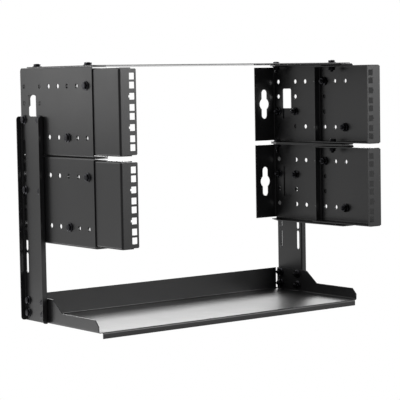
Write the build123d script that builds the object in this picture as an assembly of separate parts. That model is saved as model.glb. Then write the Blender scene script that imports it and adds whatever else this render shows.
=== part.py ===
from build123d import *
import os

os.makedirs("parts", exist_ok=True)

# Wall mount rack: two sides, each with an upper and a lower bracket of three rack units.
# A bracket is a rear pan fixed to the wall and a front pan that slides inside it and ends
# in the drilled rail. An upright joins the two brackets of a side and carries the shelf.
# Sizes are in millimetres. The design frame has X across the rack from its centre plane,
# Y = 0 on the wall with the rack towards -Y, and Z = 0 midway between the brackets.

# Layout of the whole rack
side_face = 256.4
bracket_pitch = 133.35
stack_clearance = 0.4
fit_clearance = 0.2
hole_line = 232.55
rack_depth = 266.7

# Rear bracket
rear_sheet = 1.5
rear_bend = 1.7
rear_depth = 200.0
wall_flange = 44.45
rear_flange = 25.4
flange_slope_depth = 30.0
flange_slope_width = 14.0
rear_end_gap = 3.6
corner_round = 2.0

# Keyhole in the wall flange
keyhole_length = 50.0
keyhole_width = 12.0
keyhole_head = 21.0

# Round holes of the side plates
bolt_hole = 7.1
first_column = 12.7
second_column = 57.15
column_step = 25.4
column_count = 6
outer_row = 38.1
inner_row = 12.7

# Cable slot between the two columns of the upright
cable_slot_width = 22.2
cable_slot_height = 52.0
cable_slot_round = 2.5

# Vertical holes through the flanges that stack the brackets
stack_hole_inset = 16.4
stack_hole_back = 26.0
stack_hole_front = 166.7

# Front rail piece
rail_sheet = 1.5
rail_bend = 1.5
rail_clearance = 1.775
rail_back = 120.0
rail_top_flange = 22.0
rail_stiffener = 12.4
rail_end_gap = 1.6
rail_opening_half = 225.4
rail_first_column = 133.35
rail_columns = 3

# Square holes of the rail, in the three-unit rack pattern
square_hole = 9.5
square_round = 0.6
rack_unit = 44.45
rack_hole_step = 15.875
rail_hole_reach = 52.0
notch_depth = 1.7
notch_height = 3.2

# Upright channel
upright_sheet = 1.5
upright_bend = 1.0
upright_width = 63.5
upright_depth = 9.525
upright_top = 59.3
upright_round = 5.0
height_slot_length = 31.75
height_slot_width = 7.0
height_slot_bridge = 3.175
height_slot_count = 6
height_slot_foot = 73.8

# Shelf
shelf_sheet = 1.5
shelf_bend = 1.5
shelf_bottom = -256.4
shelf_depth = 206.4
shelf_wall = 38.1
wing_low = 19.05
wing_slope_start = 80.0
wing_slope_run = 25.4
wing_front = 203.2
wing_chamfer = 9.0
lip_drop = 8.1
lip_notch = 6.4
shelf_bolt_low = 12.0
shelf_bolt_step = 19.05

# Top plate
plate_sheet = 1.2
plate_inset = 4.4
plate_back = 12.0
plate_round = 4.0

# Values that follow from the sizes above
bracket_height = bracket_pitch - stack_clearance
bracket_centre = bracket_pitch / 2
rail_height = bracket_height - 2 * (rear_sheet + rail_clearance)
rail_face = side_face - rear_sheet - fit_clearance
upright_face = side_face + fit_clearance
upright_centre = (first_column + second_column) / 2
stack_line = side_face - stack_hole_inset
shelf_bolt_rows = [shelf_bottom + shelf_bolt_low, shelf_bottom + shelf_bolt_low + shelf_bolt_step]
plate_bottom = bracket_centre + bracket_height / 2 + fit_clearance
plate_half = side_face - plate_inset

# The origin lies on the back of the upper left wall flange, under its keyhole
origin_x = -hole_line
origin_z = bracket_centre - outer_row


def block(x, y, z):
    """A box between two values on each axis."""
    return Pos(sum(x) / 2, sum(y) / 2, sum(z) / 2) * Box(x[1] - x[0], y[1] - y[0], z[1] - z[0])


def edges_on(solid, **place):
    """The edges of a solid whose middle has the given X, Y or Z."""
    return [
        edge
        for edge in solid.edges()
        if all(abs(getattr(edge.center(), axis) - value) < 1e-6 for axis, value in place.items())
    ]


def through_side(sketch, face, sheet):
    """A sketch of Y and Z carried through a side plate whose outer face is at X = face."""
    return extrude(Plane.YZ.offset(face - sheet - 1) * sketch, amount=sheet + 2)


def through_back(sketch, y, sheet):
    """A sketch of X and Z carried through a sheet whose wall side is at Y = y."""
    return extrude(Plane.XZ.offset(-y - 1) * sketch, amount=sheet + 2)


def folded_pan(face, ends, height, sheet, bend, flange, end_flanges, end_gap):
    """A side plate with its top and bottom folded inwards, and either end if asked.

    The outer face of the plate is at X = face. ends holds the Y of the wall end and of the
    front end, and end_flanges the width of the flange there, or zero for an open end.
    """
    back, front = ends
    back_flange, front_flange = end_flanges
    widest = max(flange, back_flange, front_flange)
    half = height / 2
    inner = face - sheet
    outer_radius = sheet + bend
    void_back = back - sheet if back_flange else back + sheet
    void_front = front + sheet if front_flange else front - sheet
    body = block((face - widest, face), (front, back), (-half, half))
    void = block((face - widest - sheet, inner), (void_front, void_back), (sheet - half, half - sheet))
    folds = edges_on(body, X=face, Z=half) + edges_on(body, X=face, Z=-half)
    inner_folds = edges_on(void, X=inner, Z=half - sheet) + edges_on(void, X=inner, Z=sheet - half)
    if back_flange:
        folds += edges_on(body, X=face, Y=back)
        inner_folds += edges_on(void, X=inner, Y=void_back)
    if front_flange:
        folds += edges_on(body, X=face, Y=front)
        inner_folds += edges_on(void, X=inner, Y=void_front)
    pan = fillet(folds, outer_radius) - fillet(inner_folds, bend)
    far = face - widest - sheet
    back_fold = (back - outer_radius, back + sheet)
    front_fold = (front - sheet, front + outer_radius)
    for side in (-1, 1):
        layer = sorted((side * (half - sheet), side * (half + sheet)))
        corner = sorted((side * (half - end_gap), side * (half + sheet)))
        pan -= block((far, face - flange), (front - sheet, back + sheet), layer)
        if back_flange:
            pan -= block((far, face + sheet), back_fold, corner)
        if front_flange:
            pan -= block((far, face + sheet), front_fold, corner)
    if back_flange:
        pan -= block((far, face - back_flange), back_fold, (-half, half))
    if front_flange:
        pan -= block((far, face - front_flange), front_fold, (-half, half))
    return pan


def round_grid(rows, columns):
    """Bolt holes at every crossing of the given Z rows and distances from the wall."""
    return Sketch() + [Pos(-y, z) * Circle(bolt_hole / 2) for y in columns for z in rows]


def stack_holes(height):
    """The bolt holes that run up and down through the top and bottom flanges of a pan."""
    places = [Pos(stack_line, -y) for y in (stack_hole_back, stack_hole_front)]
    holes = Sketch() + [place * Circle(bolt_hole / 2) for place in places]
    return extrude(Plane.XY.offset(-height) * holes, amount=2 * height)


def rear_bracket():
    """Right rear bracket, centred on Z = 0, with its wall flange on the wall plane."""
    pan = folded_pan(
        side_face,
        (0, -rear_depth),
        bracket_height,
        rear_sheet,
        rear_bend,
        rear_flange,
        (wall_flange, 0),
        rear_end_gap,
    )
    columns = [first_column] + [second_column + column_step * n for n in range(column_count)]
    holes = round_grid((-outer_row, outer_row), columns)
    holes += round_grid((-inner_row, inner_row), (first_column, second_column))
    holes += Pos(-upright_centre, 0) * RectangleRounded(
        cable_slot_width, cable_slot_height, cable_slot_round
    )
    keyhole = SlotOverall(keyhole_length, keyhole_width, rotation=90) + Circle(keyhole_head / 2)
    pan -= through_side(holes, side_face, rear_sheet)
    pan -= through_back(Pos(hole_line, 0) * keyhole, 0, rear_sheet)
    pan -= stack_holes(bracket_height)
    inner = side_face - rear_flange
    start = -rear_sheet - rear_bend
    slope = make_face(
        Polyline(
            (inner - rear_sheet, start + rear_sheet),
            (inner + flange_slope_width, start + rear_sheet),
            (inner + flange_slope_width, start),
            (inner, start - flange_slope_depth),
            (inner - rear_sheet, start - flange_slope_depth),
            close=True,
        )
    )
    for layer in (-bracket_height / 2, bracket_height / 2 - rear_sheet):
        pan -= extrude(Plane.XY.offset(layer) * slope, amount=rear_sheet)
    return pan


def rail_holes():
    """The square holes of a rail, with a notch in the middle hole of each whole unit."""
    centres = [(n + 0.5) * rack_unit for n in (-2, -1, 0, 1)]
    rows = [z + step * rack_hole_step for z in centres for step in (-1, 0, 1)]
    square = RectangleRounded(square_hole, square_hole, square_round)
    notch = Pos(square_hole / 2, 0) * Rectangle(2 * notch_depth, notch_height)
    holes = Sketch() + [Pos(hole_line, z) * square for z in rows if abs(z) < rail_hole_reach]
    holes += [Pos(hole_line, z) * notch for z in centres if abs(z) < rail_hole_reach]
    return holes


def front_rail():
    """Right front rail piece, centred on Z = 0, nested inside the rear bracket."""
    rail_flange = rail_face - rail_opening_half
    pan = folded_pan(
        rail_face,
        (-rail_back, -rack_depth),
        rail_height,
        rail_sheet,
        rail_bend,
        rail_top_flange,
        (rail_stiffener, rail_flange),
        rail_end_gap,
    )
    columns = [rail_first_column + column_step * n for n in range(rail_columns)]
    holes = round_grid((-outer_row, outer_row), columns)
    holes += round_grid((-inner_row, inner_row), (rail_first_column,))
    pan -= through_side(holes, rail_face, rail_sheet)
    pan -= through_back(rail_holes(), rail_sheet - rack_depth, rail_sheet)
    pan -= stack_holes(rail_height)
    corners = [
        edge
        for edge in edges_on(pan, X=rail_opening_half)
        if abs(edge.center().Y + rack_depth - rail_sheet / 2) < rail_sheet / 4
    ]
    return fillet(corners, corner_round)


def upright():
    """Right upright, a channel whose web lies on the brackets and whose flanges point outwards."""
    back = -upright_centre + upright_width / 2
    front = -upright_centre - upright_width / 2
    web = upright_face + upright_sheet
    outside = upright_face + upright_depth
    body = block((upright_face, outside), (front, back), (shelf_bottom, upright_top))
    folds = edges_on(body, X=upright_face, Y=front) + edges_on(body, X=upright_face, Y=back)
    body = fillet(folds, upright_sheet + upright_bend)
    void = block(
        (web, outside + upright_sheet),
        (front + upright_sheet, back - upright_sheet),
        (shelf_bottom - upright_sheet, upright_top + upright_sheet),
    )
    inner_folds = edges_on(void, X=web, Y=front + upright_sheet)
    inner_folds += edges_on(void, X=web, Y=back - upright_sheet)
    channel = body - fillet(inner_folds, upright_bend)
    ends = edges_on(channel, X=outside, Z=upright_top) + edges_on(channel, X=outside, Z=shelf_bottom)
    channel = fillet(ends, upright_round)
    columns = (first_column, second_column)
    pitch = height_slot_length + height_slot_bridge
    middle = shelf_bottom + height_slot_foot + height_slot_length / 2
    slot = SlotOverall(height_slot_length, height_slot_width, rotation=90)
    holes = round_grid([bracket_centre - inner_row] + shelf_bolt_rows, columns)
    holes += [Pos(-y, middle + pitch * n) * slot for y in columns for n in range(height_slot_count)]
    return channel - through_side(holes, web, upright_sheet)


def shelf():
    """The shelf, one folded sheet: floor, back wall, two side wings and a front lip."""
    radius = shelf_sheet + shelf_bend
    top = shelf_bottom + shelf_wall
    floor = shelf_bottom + shelf_sheet
    inner = side_face - shelf_sheet
    floor_front = radius - shelf_depth
    body = block((-side_face, side_face), (floor_front, 0), (shelf_bottom, top))
    void = block((-inner, inner), (floor_front - radius, -shelf_sheet), (floor, top + radius))
    folds = edges_on(body, Y=0, Z=shelf_bottom)
    inner_folds = edges_on(void, Y=-shelf_sheet, Z=floor)
    for side in (-1, 1):
        folds += edges_on(body, X=side * side_face, Z=shelf_bottom)
        inner_folds += edges_on(void, X=side * inner, Z=floor)
    tray = fillet(folds, radius) - fillet(inner_folds, shelf_bend)
    low = shelf_bottom + wing_low
    slope_end = wing_slope_start + wing_slope_run
    above_wing = make_face(
        Polyline(
            (-wing_slope_start, top + radius),
            (-wing_slope_start, top),
            (-slope_end, low),
            (wing_chamfer - wing_front, low),
            (-wing_front, low - wing_chamfer),
            (-wing_front, floor),
            (-shelf_depth, floor),
            (-shelf_depth, top + radius),
            close=True,
        )
    )
    tray -= extrude(Plane.YZ.offset(-side_face - radius) * above_wing, amount=2 * (side_face + radius))
    for side in (-1, 1):
        corner = sorted((side * (side_face - radius), side * (side_face + radius)))
        tray -= block(corner, (-radius, radius), (shelf_bottom + radius, top + radius))
    lip_half = side_face - lip_notch
    lip_bottom = shelf_bottom - lip_drop
    lip = block((-lip_half, lip_half), (-shelf_depth, floor_front + radius), (lip_bottom, floor))
    lip = fillet(edges_on(lip, Y=-shelf_depth, Z=floor), radius)
    lip_void = block(
        (-side_face, side_face),
        (shelf_sheet - shelf_depth, floor_front + 2 * radius),
        (lip_bottom - shelf_sheet, shelf_bottom),
    )
    lip -= fillet(edges_on(lip_void, Y=shelf_sheet - shelf_depth, Z=shelf_bottom), shelf_bend)
    holes = round_grid(shelf_bolt_rows, (first_column, second_column))
    return tray + lip - through_side(holes, side_face, shelf_sheet) - through_side(holes, -inner, shelf_sheet)


def top_plate():
    """The thin plate that lies on the two upper brackets and ties them together."""
    outline = block(
        (-plate_half, plate_half), (-rear_depth, -plate_back), (plate_bottom, plate_bottom + plate_sheet)
    )
    plate = fillet(outline.edges().filter_by(Axis.Z), plate_round)
    return plate - stack_holes(plate_bottom + plate_sheet) - mirror(
        stack_holes(plate_bottom + plate_sheet), about=Plane.YZ
    )


def export(name, solid):
    """Writes one piece, moved from the design frame to the frame of the part."""
    export_step(Pos(-origin_x, 0, -origin_z) * solid, f"parts/{name}.step")


def export_both_sides(name, solid):
    """Writes the piece for the right side of the rack and its mirror image for the left."""
    export(f"{name[0]}right_{name[1]}", solid)
    export(f"{name[0]}left_{name[1]}", mirror(solid, about=Plane.YZ))


rear = rear_bracket()
rail = front_rail()
for level, height in (("upper_", bracket_centre), ("lower_", -bracket_centre)):
    export_both_sides((level, "rear_bracket"), Pos(0, 0, height) * rear)
    export_both_sides((level, "front_rail"), Pos(0, 0, height) * rail)
export_both_sides(("", "upright"), upright())
export("shelf", shelf())
export("top_plate", top_plate())
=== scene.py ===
import math

import bpy
import numpy as np
from mathutils import Matrix, Vector


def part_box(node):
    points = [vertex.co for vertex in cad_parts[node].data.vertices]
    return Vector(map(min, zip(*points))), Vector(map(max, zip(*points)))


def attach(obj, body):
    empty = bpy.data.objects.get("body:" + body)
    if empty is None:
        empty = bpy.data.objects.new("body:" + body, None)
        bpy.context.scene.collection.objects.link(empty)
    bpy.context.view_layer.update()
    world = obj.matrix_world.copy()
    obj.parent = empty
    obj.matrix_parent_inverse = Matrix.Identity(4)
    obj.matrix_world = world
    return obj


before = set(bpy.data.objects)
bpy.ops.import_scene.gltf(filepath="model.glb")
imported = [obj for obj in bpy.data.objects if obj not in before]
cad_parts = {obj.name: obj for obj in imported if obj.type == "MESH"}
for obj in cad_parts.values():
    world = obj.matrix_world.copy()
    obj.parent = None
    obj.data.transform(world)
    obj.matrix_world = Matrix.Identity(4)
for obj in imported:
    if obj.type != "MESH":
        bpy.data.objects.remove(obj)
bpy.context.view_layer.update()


# Folded and pierced steel sheet of the rack
# The brackets, rails, uprights, shelf and top plate are cold-rolled steel about 1.5 mm thick,
# punched, folded and then coated all over with black polyester powder baked in an oven.
COAT_BLACK = "#0c0c0d"
COAT_GREY = "#151516"
COAT_ROUGHNESS = (0.30, 0.38)
PLATE_ROUGHNESS = (0.20, 0.26)
CLOUD = 0.09
ORANGE_PEEL = 0.0030
PEEL_HEIGHT = 0.00006
SPECK = 0.0009
SPECK_HEIGHT = 0.00003


def linear(colour):
    """An sRGB hex colour as the linear red, green, blue and alpha that a shader takes."""
    levels = [int(colour[i : i + 2], 16) / 255 for i in (1, 3, 5)]
    return [v / 12.92 if v <= 0.04045 else ((v + 0.055) / 1.055) ** 2.4 for v in levels] + [1.0]


def add_node(material, kind, settings=(), links=()):
    """Adds one node to a material, sets its values, and links its sockets to other nodes.

    A setting whose name is a socket sets that socket, and any other sets the node itself. A link
    is (socket of this node, other node, socket of the other node).
    """
    node = material.node_tree.nodes.new(kind)
    for name, value in dict(settings).items():
        if name in node.inputs:
            node.inputs[name].default_value = value
        else:
            setattr(node, name, value)
    for socket, other, output in links:
        material.node_tree.links.new(other.outputs[output], node.inputs[socket])
    return node


def new_material(name):
    """A material with an empty node tree."""
    material = bpy.data.materials.new(name)
    material.use_nodes = True
    material.node_tree.nodes.clear()
    return material


def powder_coat(name, roughness):
    """Black polyester powder coat, sprayed dry and baked.

    It is a smooth plastic skin with a semi-gloss, so the eye sees soft wide highlights, a faint
    orange peel about 3 mm from crest to crest, and a sheen that grows at shallow angles. The
    finest specks are drawn coarser than real ones, at about 0.9 mm, so that they show.
    """
    coat = new_material(name)
    place = add_node(coat, "ShaderNodeTexCoord")
    cloud = add_node(
        coat,
        "ShaderNodeTexNoise",
        {"Scale": 1 / CLOUD, "Detail": 3.0, "Roughness": 0.55},
        [("Vector", place, "Object")],
    )
    peel = add_node(
        coat,
        "ShaderNodeTexNoise",
        {"Scale": 1 / ORANGE_PEEL, "Detail": 1.5, "Roughness": 0.4},
        [("Vector", place, "Object")],
    )
    speck = add_node(
        coat,
        "ShaderNodeTexNoise",
        {"Scale": 1 / SPECK, "Detail": 0.0},
        [("Vector", place, "Object")],
    )
    tone = add_node(
        coat,
        "ShaderNodeMix",
        {"data_type": "RGBA"},
        [("Factor", cloud, "Fac")],
    )
    tone.inputs[6].default_value = linear(COAT_BLACK)
    tone.inputs[7].default_value = linear(COAT_GREY)
    gloss = add_node(
        coat,
        "ShaderNodeMapRange",
        {"From Min": 0.3, "From Max": 0.7, "To Min": roughness[0], "To Max": roughness[1]},
        [("Value", cloud, "Fac")],
    )
    waves = add_node(
        coat,
        "ShaderNodeBump",
        {"Strength": 0.35, "Distance": PEEL_HEIGHT},
        [("Height", peel, "Fac")],
    )
    grain = add_node(
        coat,
        "ShaderNodeBump",
        {"Strength": 0.25, "Distance": SPECK_HEIGHT},
        [("Height", speck, "Fac"), ("Normal", waves, "Normal")],
    )
    skin = add_node(
        coat,
        "ShaderNodeBsdfPrincipled",
        {"IOR": 1.5, "Metallic": 0.0},
        [("Roughness", gloss, "Result"), ("Normal", grain, "Normal")],
    )
    coat.node_tree.links.new(tone.outputs[2], skin.inputs["Base Color"])
    add_node(coat, "ShaderNodeOutputMaterial", (), [("Surface", skin, "BSDF")])
    return coat


coat = powder_coat("black_powder_coat", COAT_ROUGHNESS)
# The top plate's flat sheet takes a smoother coat, which mirrors more of the backdrop.
plate_coat = powder_coat("smooth_black_powder_coat", PLATE_ROUGHNESS)
for name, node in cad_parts.items():
    node.data.materials.clear()
    node.data.materials.append(plate_coat if name == "top_plate" else coat)


# Flange bolts and nuts through the sides
# Each joint is a 6 mm steel bolt with a washer-faced hexagon head, and a flange nut behind it,
# cold-headed, rolled and black zinc plated. Moving them sets the rack's depth and height.
# The flange, the hexagon's corners, the shank and the tip's flat are radii.
FLANGE = 0.0071
HEX_FLATS = 0.0100
HEX_CORNERS = 0.0062
HEAD_HEIGHT = 0.0048
NUT_HEIGHT = 0.0058
SHANK = 0.0029
NECK = 0.0013
THREAD_START = 0.0015
THREAD_PITCH = 0.0010
THREAD_DEPTH = 0.00045
THREAD_MARGIN = 0.0006
ROWS_A_PITCH = 6
TIP_CHAMFER = 0.0005
TIP_FLAT = 0.0008
FACETS = 48
SHARP_EDGE = math.radians(32)
# A distance across flats that is so wide that it cuts nothing off the circle
ROUND = 1.0
# Outlines of the head and the nut: place along the axis, radius, distance across flats
HEAD_PROFILE = (
    (-HEAD_HEIGHT, 0.0022, ROUND),
    (-HEAD_HEIGHT, 0.0036, ROUND),
    (-HEAD_HEIGHT + 0.0002, 0.0044, ROUND),
    (-HEAD_HEIGHT + 0.0007, 0.0056, HEX_FLATS),
    (-0.0019, HEX_CORNERS, HEX_FLATS),
    (-0.0014, HEX_CORNERS, ROUND),
    (-0.0009, FLANGE, ROUND),
    (0.0, FLANGE, ROUND),
    (0.0, 0.0045, ROUND),
)
NUT_PROFILE = (
    (0.0, 0.0036, ROUND),
    (0.0, FLANGE, ROUND),
    (0.0010, FLANGE, ROUND),
    (0.0016, 0.0060, ROUND),
    (0.0020, HEX_CORNERS, HEX_FLATS),
    (NUT_HEIGHT - 0.0007, HEX_CORNERS, HEX_FLATS),
    (NUT_HEIGHT, 0.0050, ROUND),
    (NUT_HEIGHT, 0.0034, ROUND),
    (NUT_HEIGHT - 0.0006, 0.0028, ROUND),
    (0.0006, 0.0028, ROUND),
)
ZINC_BLUE = "#292a2e"
ZINC_BROWN = "#363537"
ZINC_DRIFT = 0.006
ZINC_ROUGHNESS = (0.2, 0.36)


def turned_shape(along, radius, flats=ROUND):
    """Points of a turned and pressed shape whose axis is X, as rows by angles by three.

    At each place along the axis the outline is the smaller of a circle and a hexagon:
    r(angle) = min(radius, flats / 2 / cos(angle to the middle of the nearest flat)).
    """
    angle = np.arange(FACETS) * 2 * np.pi / FACETS
    to_flat = (angle + np.pi / 6) % (np.pi / 3) - np.pi / 6
    along = np.asarray(along, float)[:, None]
    radius = np.asarray(radius, float).reshape(len(along), -1)
    reach = np.minimum(radius, np.asarray(flats, float).reshape(-1, 1) / 2 / np.cos(to_flat))
    return np.stack([along + 0 * reach, reach * np.cos(angle), reach * np.sin(angle)], -1)


def bolt_shape(length):
    """A flange bolt that points along +X, with its bearing face at X = 0 and its head behind it.

    The thread's crest climbs one pitch a turn: its depth is a triangle wave of
    along / pitch - angle / full turn. The neck before it is plain, and the tip is chamfered.
    """
    head = turned_shape(*zip(*HEAD_PROFILE))
    neck = turned_shape([0.0, NECK], [SHANK, SHANK])
    threaded = length - THREAD_MARGIN - THREAD_START
    rows = THREAD_START + np.arange(0, threaded, THREAD_PITCH / ROWS_A_PITCH)
    angle = np.arange(FACETS) / FACETS
    wave = np.abs((rows[:, None] / THREAD_PITCH - angle[None, :]) % 1.0 * 2 - 1)
    thread = turned_shape(rows, SHANK - THREAD_DEPTH * wave)
    tip = turned_shape(
        [length - TIP_CHAMFER, length, length],
        [SHANK - TIP_CHAMFER, SHANK - 2 * TIP_CHAMFER, TIP_FLAT],
    )
    return np.concatenate([head, neck, thread, tip])


def nut_shape():
    """A flange nut on the X axis, bearing at X = 0: flange, hexagon, chamfered top and bore."""
    return turned_shape(*zip(*NUT_PROFILE))


def repeat_shape(name, shape, closed, places, material):
    """One mesh object with a copy of a turned shape at each place.

    A place is (point, direction, spin): the copy is spun about its axis and turned so that its X
    axis lies along the direction. closed joins the last row to the first, as on a ring, and an
    open shape gets a flat face at each end. Row i and angle j are point i * columns + j.
    """
    rows, columns = shape.shape[:2]
    i = np.arange(rows if closed else rows - 1)[:, None]
    j = np.arange(columns)[None, :]
    row, next_row = i * columns, (i + 1) % rows * columns
    next_j = (j + 1) % columns
    quads = np.stack([row + j, row + next_j, next_row + next_j, next_row + j], -1).reshape(-1, 4)
    points, faces = [], []
    for point, direction, spin in places:
        x = np.array(direction, float)
        y = np.array([0.0, 1.0, 0.0])
        z = np.cross(x, y)
        across = math.cos(spin) * y + math.sin(spin) * z
        base = sum(map(len, points))
        points.append(shape.reshape(-1, 3) @ np.array([x, across, np.cross(x, across)]) + point)
        faces += (quads + base).tolist()
        if not closed:
            last = base + (rows - 1) * columns
            faces.append(list(range(base + columns - 1, base - 1, -1)))
            faces.append(list(range(last, last + columns)))
    mesh = bpy.data.meshes.new(name)
    mesh.from_pydata(np.concatenate(points).tolist(), [], faces)
    mesh.shade_smooth()
    mesh.set_sharp_from_angle(angle=SHARP_EDGE)
    mesh.materials.append(material)
    piece = bpy.data.objects.new(name, mesh)
    bpy.context.scene.collection.objects.link(piece)
    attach(piece, "root")
    return piece


def black_zinc():
    """Zinc plate on rolled steel, turned black in a chromate bath.

    The metal still mirrors the studio under a thin dark film, so the flats flash and the
    film's tone drifts a little from blue-black to brown-black.
    """
    zinc = new_material("black_zinc_plated_steel")
    place = add_node(zinc, "ShaderNodeTexCoord")
    drift = add_node(
        zinc,
        "ShaderNodeTexNoise",
        {"Scale": 1 / ZINC_DRIFT, "Detail": 2.0},
        [("Vector", place, "Object")],
    )
    tone = add_node(zinc, "ShaderNodeMix", {"data_type": "RGBA"}, [("Factor", drift, "Fac")])
    tone.inputs[6].default_value = linear(ZINC_BLUE)
    tone.inputs[7].default_value = linear(ZINC_BROWN)
    gloss = add_node(
        zinc,
        "ShaderNodeMapRange",
        {"To Min": ZINC_ROUGHNESS[0], "To Max": ZINC_ROUGHNESS[1]},
        [("Value", drift, "Fac")],
    )
    metal = add_node(
        zinc, "ShaderNodeBsdfPrincipled", {"Metallic": 1.0}, [("Roughness", gloss, "Result")]
    )
    zinc.node_tree.links.new(tone.outputs[2], metal.inputs["Base Color"])
    add_node(zinc, "ShaderNodeOutputMaterial", (), [("Surface", metal, "BSDF")])
    return zinc


zinc = black_zinc()
SHEET = 0.0015
# Heights of the outer and inner rows of holes from the middle of a bracket
OUTER_ROW = 0.0381
INNER_ROW = 0.0127
# Distances of the columns of holes from the wall, and of the shelf's bolts from the upright's foot
REAR_COLUMNS = (0.0127, 0.05715)
DEPTH_COLUMNS = (0.18415, 0.13335)
SHELF_ROWS = (0.0120, 0.03105)
# Length of thread past the face that the nut bears on
SIDE_BOLT_END = 0.0095
# How far the hexagons are turned as they were tightened, in radians
FIRST_SPIN = 0.4
SPIN_STEP = 1.7
bracket_low, bracket_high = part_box("upper_right_rear_bracket")
lower_low, lower_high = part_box("lower_right_rear_bracket")
rail_low, rail_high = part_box("upper_right_front_rail")
upright_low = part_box("right_upright")[0]
middle_x = (bracket_high.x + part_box("upper_left_rear_bracket")[0].x) / 2
upper_middle = (bracket_low.z + bracket_high.z) / 2
lower_middle = (lower_low.z + lower_high.z) / 2
outer_face = bracket_high.x - middle_x
inner_face = outer_face - SHEET
web_face = upright_low.x - middle_x + SHEET
# The depth bolts' nuts bear two sheet thicknesses inside the outer face of the rail.
depth_nut_face = rail_high.x - middle_x - 2 * SHEET


def side_bolts(name, side, spots, head_face, nut_face):
    """Bolts through one side of the rack, heads outside and nuts inside.

    spots are (distance from the wall, height), and the faces are distances from the rack's
    middle plane. side is 1 on the right and -1 on the left.
    """
    grip = head_face - nut_face
    inwards = (-side, 0, 0)
    heads, nuts = [], []
    for n, (y, z) in enumerate(spots):
        spin = FIRST_SPIN + SPIN_STEP * n
        heads.append(((middle_x + side * head_face, -y, z), inwards, spin))
        nuts.append(((middle_x + side * nut_face, -y, z), inwards, -spin))
    repeat_shape(f"{name}_bolts", bolt_shape(grip + SIDE_BOLT_END), False, heads, zinc)
    repeat_shape(f"{name}_nuts", nut_shape(), True, nuts, zinc)


def depth_spots(first_row):
    """Places of one side's depth bolts: each bracket has one in its upper row and one below."""
    return [
        (column, middle + row)
        for middle in (upper_middle, lower_middle)
        for column, row in zip(DEPTH_COLUMNS, (first_row, -first_row))
    ]


upright_spots = [
    (column, z)
    for column in REAR_COLUMNS
    for z in (upper_middle - INNER_ROW, lower_middle + INNER_ROW)
]
shelf_spots = [(column, upright_low.z + row) for column in REAR_COLUMNS for row in SHELF_ROWS]
for word, side, first_row in (("left", -1, OUTER_ROW), ("right", 1, -OUTER_ROW)):
    side_bolts(f"{word}_depth", side, depth_spots(first_row), outer_face, depth_nut_face)
    side_bolts(f"{word}_upright", side, upright_spots, web_face, inner_face)
    side_bolts(f"{word}_shelf", side, shelf_spots, web_face, inner_face)


# Stacking bolts
# They run up and down: two on each side hold the top plate on the upper bracket, and two pass
# from the upper bracket into the lower one. The front ones also hold the rails' flanges.
STACK_INSET = 0.0164
STACK_COLUMNS = (0.026, 0.1667)
STACK_BOLT_END = 0.0085
TOP_BOLT_SPIN = 0.3
TOP_NUT_SPIN = 0.9
STACK_BOLT_SPINS = (0.5, 0.8)
STACK_NUT_SPINS = (1.1, 0.2)
plate_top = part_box("top_plate")[1].z
lower_rail_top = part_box("lower_right_front_rail")[1].z
# Faces that the bolts and nuts bear on, first for the rear bolt and then for the front one
top_nut_faces = (bracket_high.z - SHEET, rail_high.z - SHEET)
stack_bolt_faces = (bracket_low.z + SHEET, rail_low.z + SHEET)
stack_nut_faces = (lower_high.z - SHEET, lower_rail_top - SHEET)
top_length = plate_top - top_nut_faces[1] + STACK_BOLT_END
stack_length = rail_low.z - lower_rail_top + 2 * SHEET + STACK_BOLT_END


def stack_places(x, heights, spins):
    """Places of the rear and the front stacking bolt or nut of a side, pointing down."""
    return [
        ((x, -column, z), (0, 0, -1), spin)
        for column, z, spin in zip(STACK_COLUMNS, heights, spins)
    ]


for word, side in (("left", -1), ("right", 1)):
    x = middle_x + side * (outer_face - STACK_INSET)
    top_bolts = stack_places(
        x, (plate_top, plate_top), [TOP_BOLT_SPIN + column for column in STACK_COLUMNS]
    )
    top_nuts = stack_places(
        x, top_nut_faces, [TOP_NUT_SPIN + column for column in STACK_COLUMNS]
    )
    stack_bolts = stack_places(x, stack_bolt_faces, STACK_BOLT_SPINS)
    stack_nuts = stack_places(x, stack_nut_faces, STACK_NUT_SPINS)
    repeat_shape(f"{word}_top_bolts", bolt_shape(top_length), False, top_bolts, zinc)
    repeat_shape(f"{word}_top_nuts", nut_shape(), True, top_nuts, zinc)
    repeat_shape(f"{word}_stacking_bolts", bolt_shape(stack_length), False, stack_bolts, zinc)
    repeat_shape(f"{word}_stacking_nuts", nut_shape(), True, stack_nuts, zinc)


# Camera
# It stands in front of the rack and to its left, a little above its middle, with a long lens.
# The angles are the yaw from straight at the wall, the pitch and the roll.
CAMERA_PLACE = Vector((-1.32097, -2.14441, 0.08172))
YAW, PITCH, ROLL = math.radians(37.467), math.radians(-4.26), math.radians(-1.009)
SENSOR_WIDTH = 36.0
FOCAL_LENGTH = 145.042
lens = bpy.data.cameras.new("camera")
lens.sensor_width = SENSOR_WIDTH
lens.lens = FOCAL_LENGTH
camera = bpy.data.objects.new("camera", lens)
bpy.context.scene.collection.objects.link(camera)
turn = (
    Matrix.Rotation(-YAW, 4, "Z")
    @ Matrix.Rotation(math.pi / 2 + PITCH, 4, "X")
    @ Matrix.Rotation(ROLL, 4, "Z")
)
camera.matrix_world = Matrix.Translation(CAMERA_PLACE) @ turn
bpy.context.scene.camera = camera


# White surroundings
# The rack hangs in front of a white backdrop, which the camera and the gloss of the coat see
# behind it. Gloss sees a dimmer room beside it, and a dark one behind the camera.
BACKDROP = 1.0
ROOM = 0.65
DARK = 0.16
# Even light that falls on every surface from all around
FILL = 1.1
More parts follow.
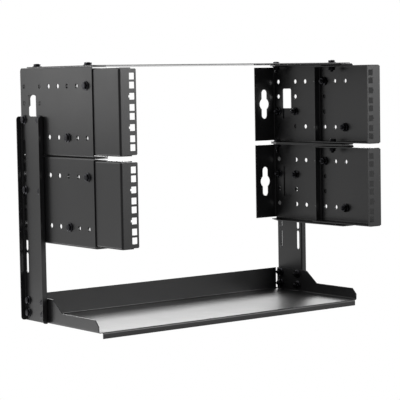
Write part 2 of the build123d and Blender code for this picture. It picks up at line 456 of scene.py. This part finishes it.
# Where dark turns to room and room to backdrop, from -1 behind the camera to 1 straight ahead
ROOM_EDGE = (-0.85, -0.3)
BACKDROP_EDGE = (0.2, 0.8)
world = bpy.data.worlds.new("studio")
bpy.context.scene.world = world
world.use_nodes = True
world.node_tree.nodes.clear()
ray = add_node(world, "ShaderNodeLightPath")
direction = add_node(world, "ShaderNodeTexCoord")
towards = add_node(
    world, "ShaderNodeVectorMath", {"operation": "DOT_PRODUCT"}, [(0, direction, "Generated")]
)
towards.inputs[1].default_value = turn @ Vector((0, 0, -1))
room_level = add_node(
    world,
    "ShaderNodeMapRange",
    {
        "interpolation_type": "SMOOTHSTEP",
        "From Min": ROOM_EDGE[0],
        "From Max": ROOM_EDGE[1],
        "To Min": DARK,
        "To Max": ROOM,
    },
    [("Value", towards, "Value")],
)
backdrop = add_node(
    world,
    "ShaderNodeMapRange",
    {
        "interpolation_type": "SMOOTHSTEP",
        "From Min": BACKDROP_EDGE[0],
        "From Max": BACKDROP_EDGE[1],
        "To Max": BACKDROP,
    },
    [("Value", towards, "Value"), ("To Min", room_level, "Result")],
)
gloss_level = add_node(
    world,
    "ShaderNodeMapRange",
    {"To Min": FILL},
    [("Value", ray, "Is Glossy Ray"), ("To Max", backdrop, "Result")],
)
direct = add_node(
    world,
    "ShaderNodeMath",
    {"operation": "MAXIMUM"},
    [(0, ray, "Is Camera Ray"), (1, ray, "Is Transmission Ray")],
)
level = add_node(
    world,
    "ShaderNodeMapRange",
    {"To Max": BACKDROP},
    [("Value", direct, "Value"), ("To Min", gloss_level, "Result")],
)
sky = add_node(
    world, "ShaderNodeBackground", {"Color": (1, 1, 1, 1)}, [("Strength", level, "Result")]
)
add_node(world, "ShaderNodeOutputWorld", (), [("Surface", sky, "Background")])


# Softboxes
# Four lamps behind cloth stand round the rack, all turned to the middle between its upper
# brackets. Each has its place, x from the rack's middle plane, its size and its watts.
LAMPS = {
    "right_rear_softbox": ((1.2, 1.5, 0.75), (1.2, 0.9), 19.0),
    "left_near_softbox": ((-0.68, 0.42, 0.25), (0.3, 0.5), 0.8),
    "left_rear_low": ((-0.9, 0.75, -0.65), (0.6, 0.4), 1.8),
    "right_front_softbox": ((1.1, -1.9, 0.7), (1.2, 1.2), 31.0),
}
AIM_DEPTH = 0.12
aim = Vector((middle_x, -AIM_DEPTH, upper_middle))
for word, (spot, size, power) in LAMPS.items():
    lamp = bpy.data.lights.new(word, "AREA")
    lamp.shape = "RECTANGLE"
    lamp.size, lamp.size_y = size
    lamp.energy = power
    holder = bpy.data.objects.new(word, lamp)
    holder.location = Vector(spot) + Vector((middle_x, 0, 0))
    holder.rotation_euler = (aim - holder.location).to_track_quat("-Z", "Y").to_euler()
    bpy.context.scene.collection.objects.link(holder)

bpy.context.scene.view_settings.view_transform = "Standard"
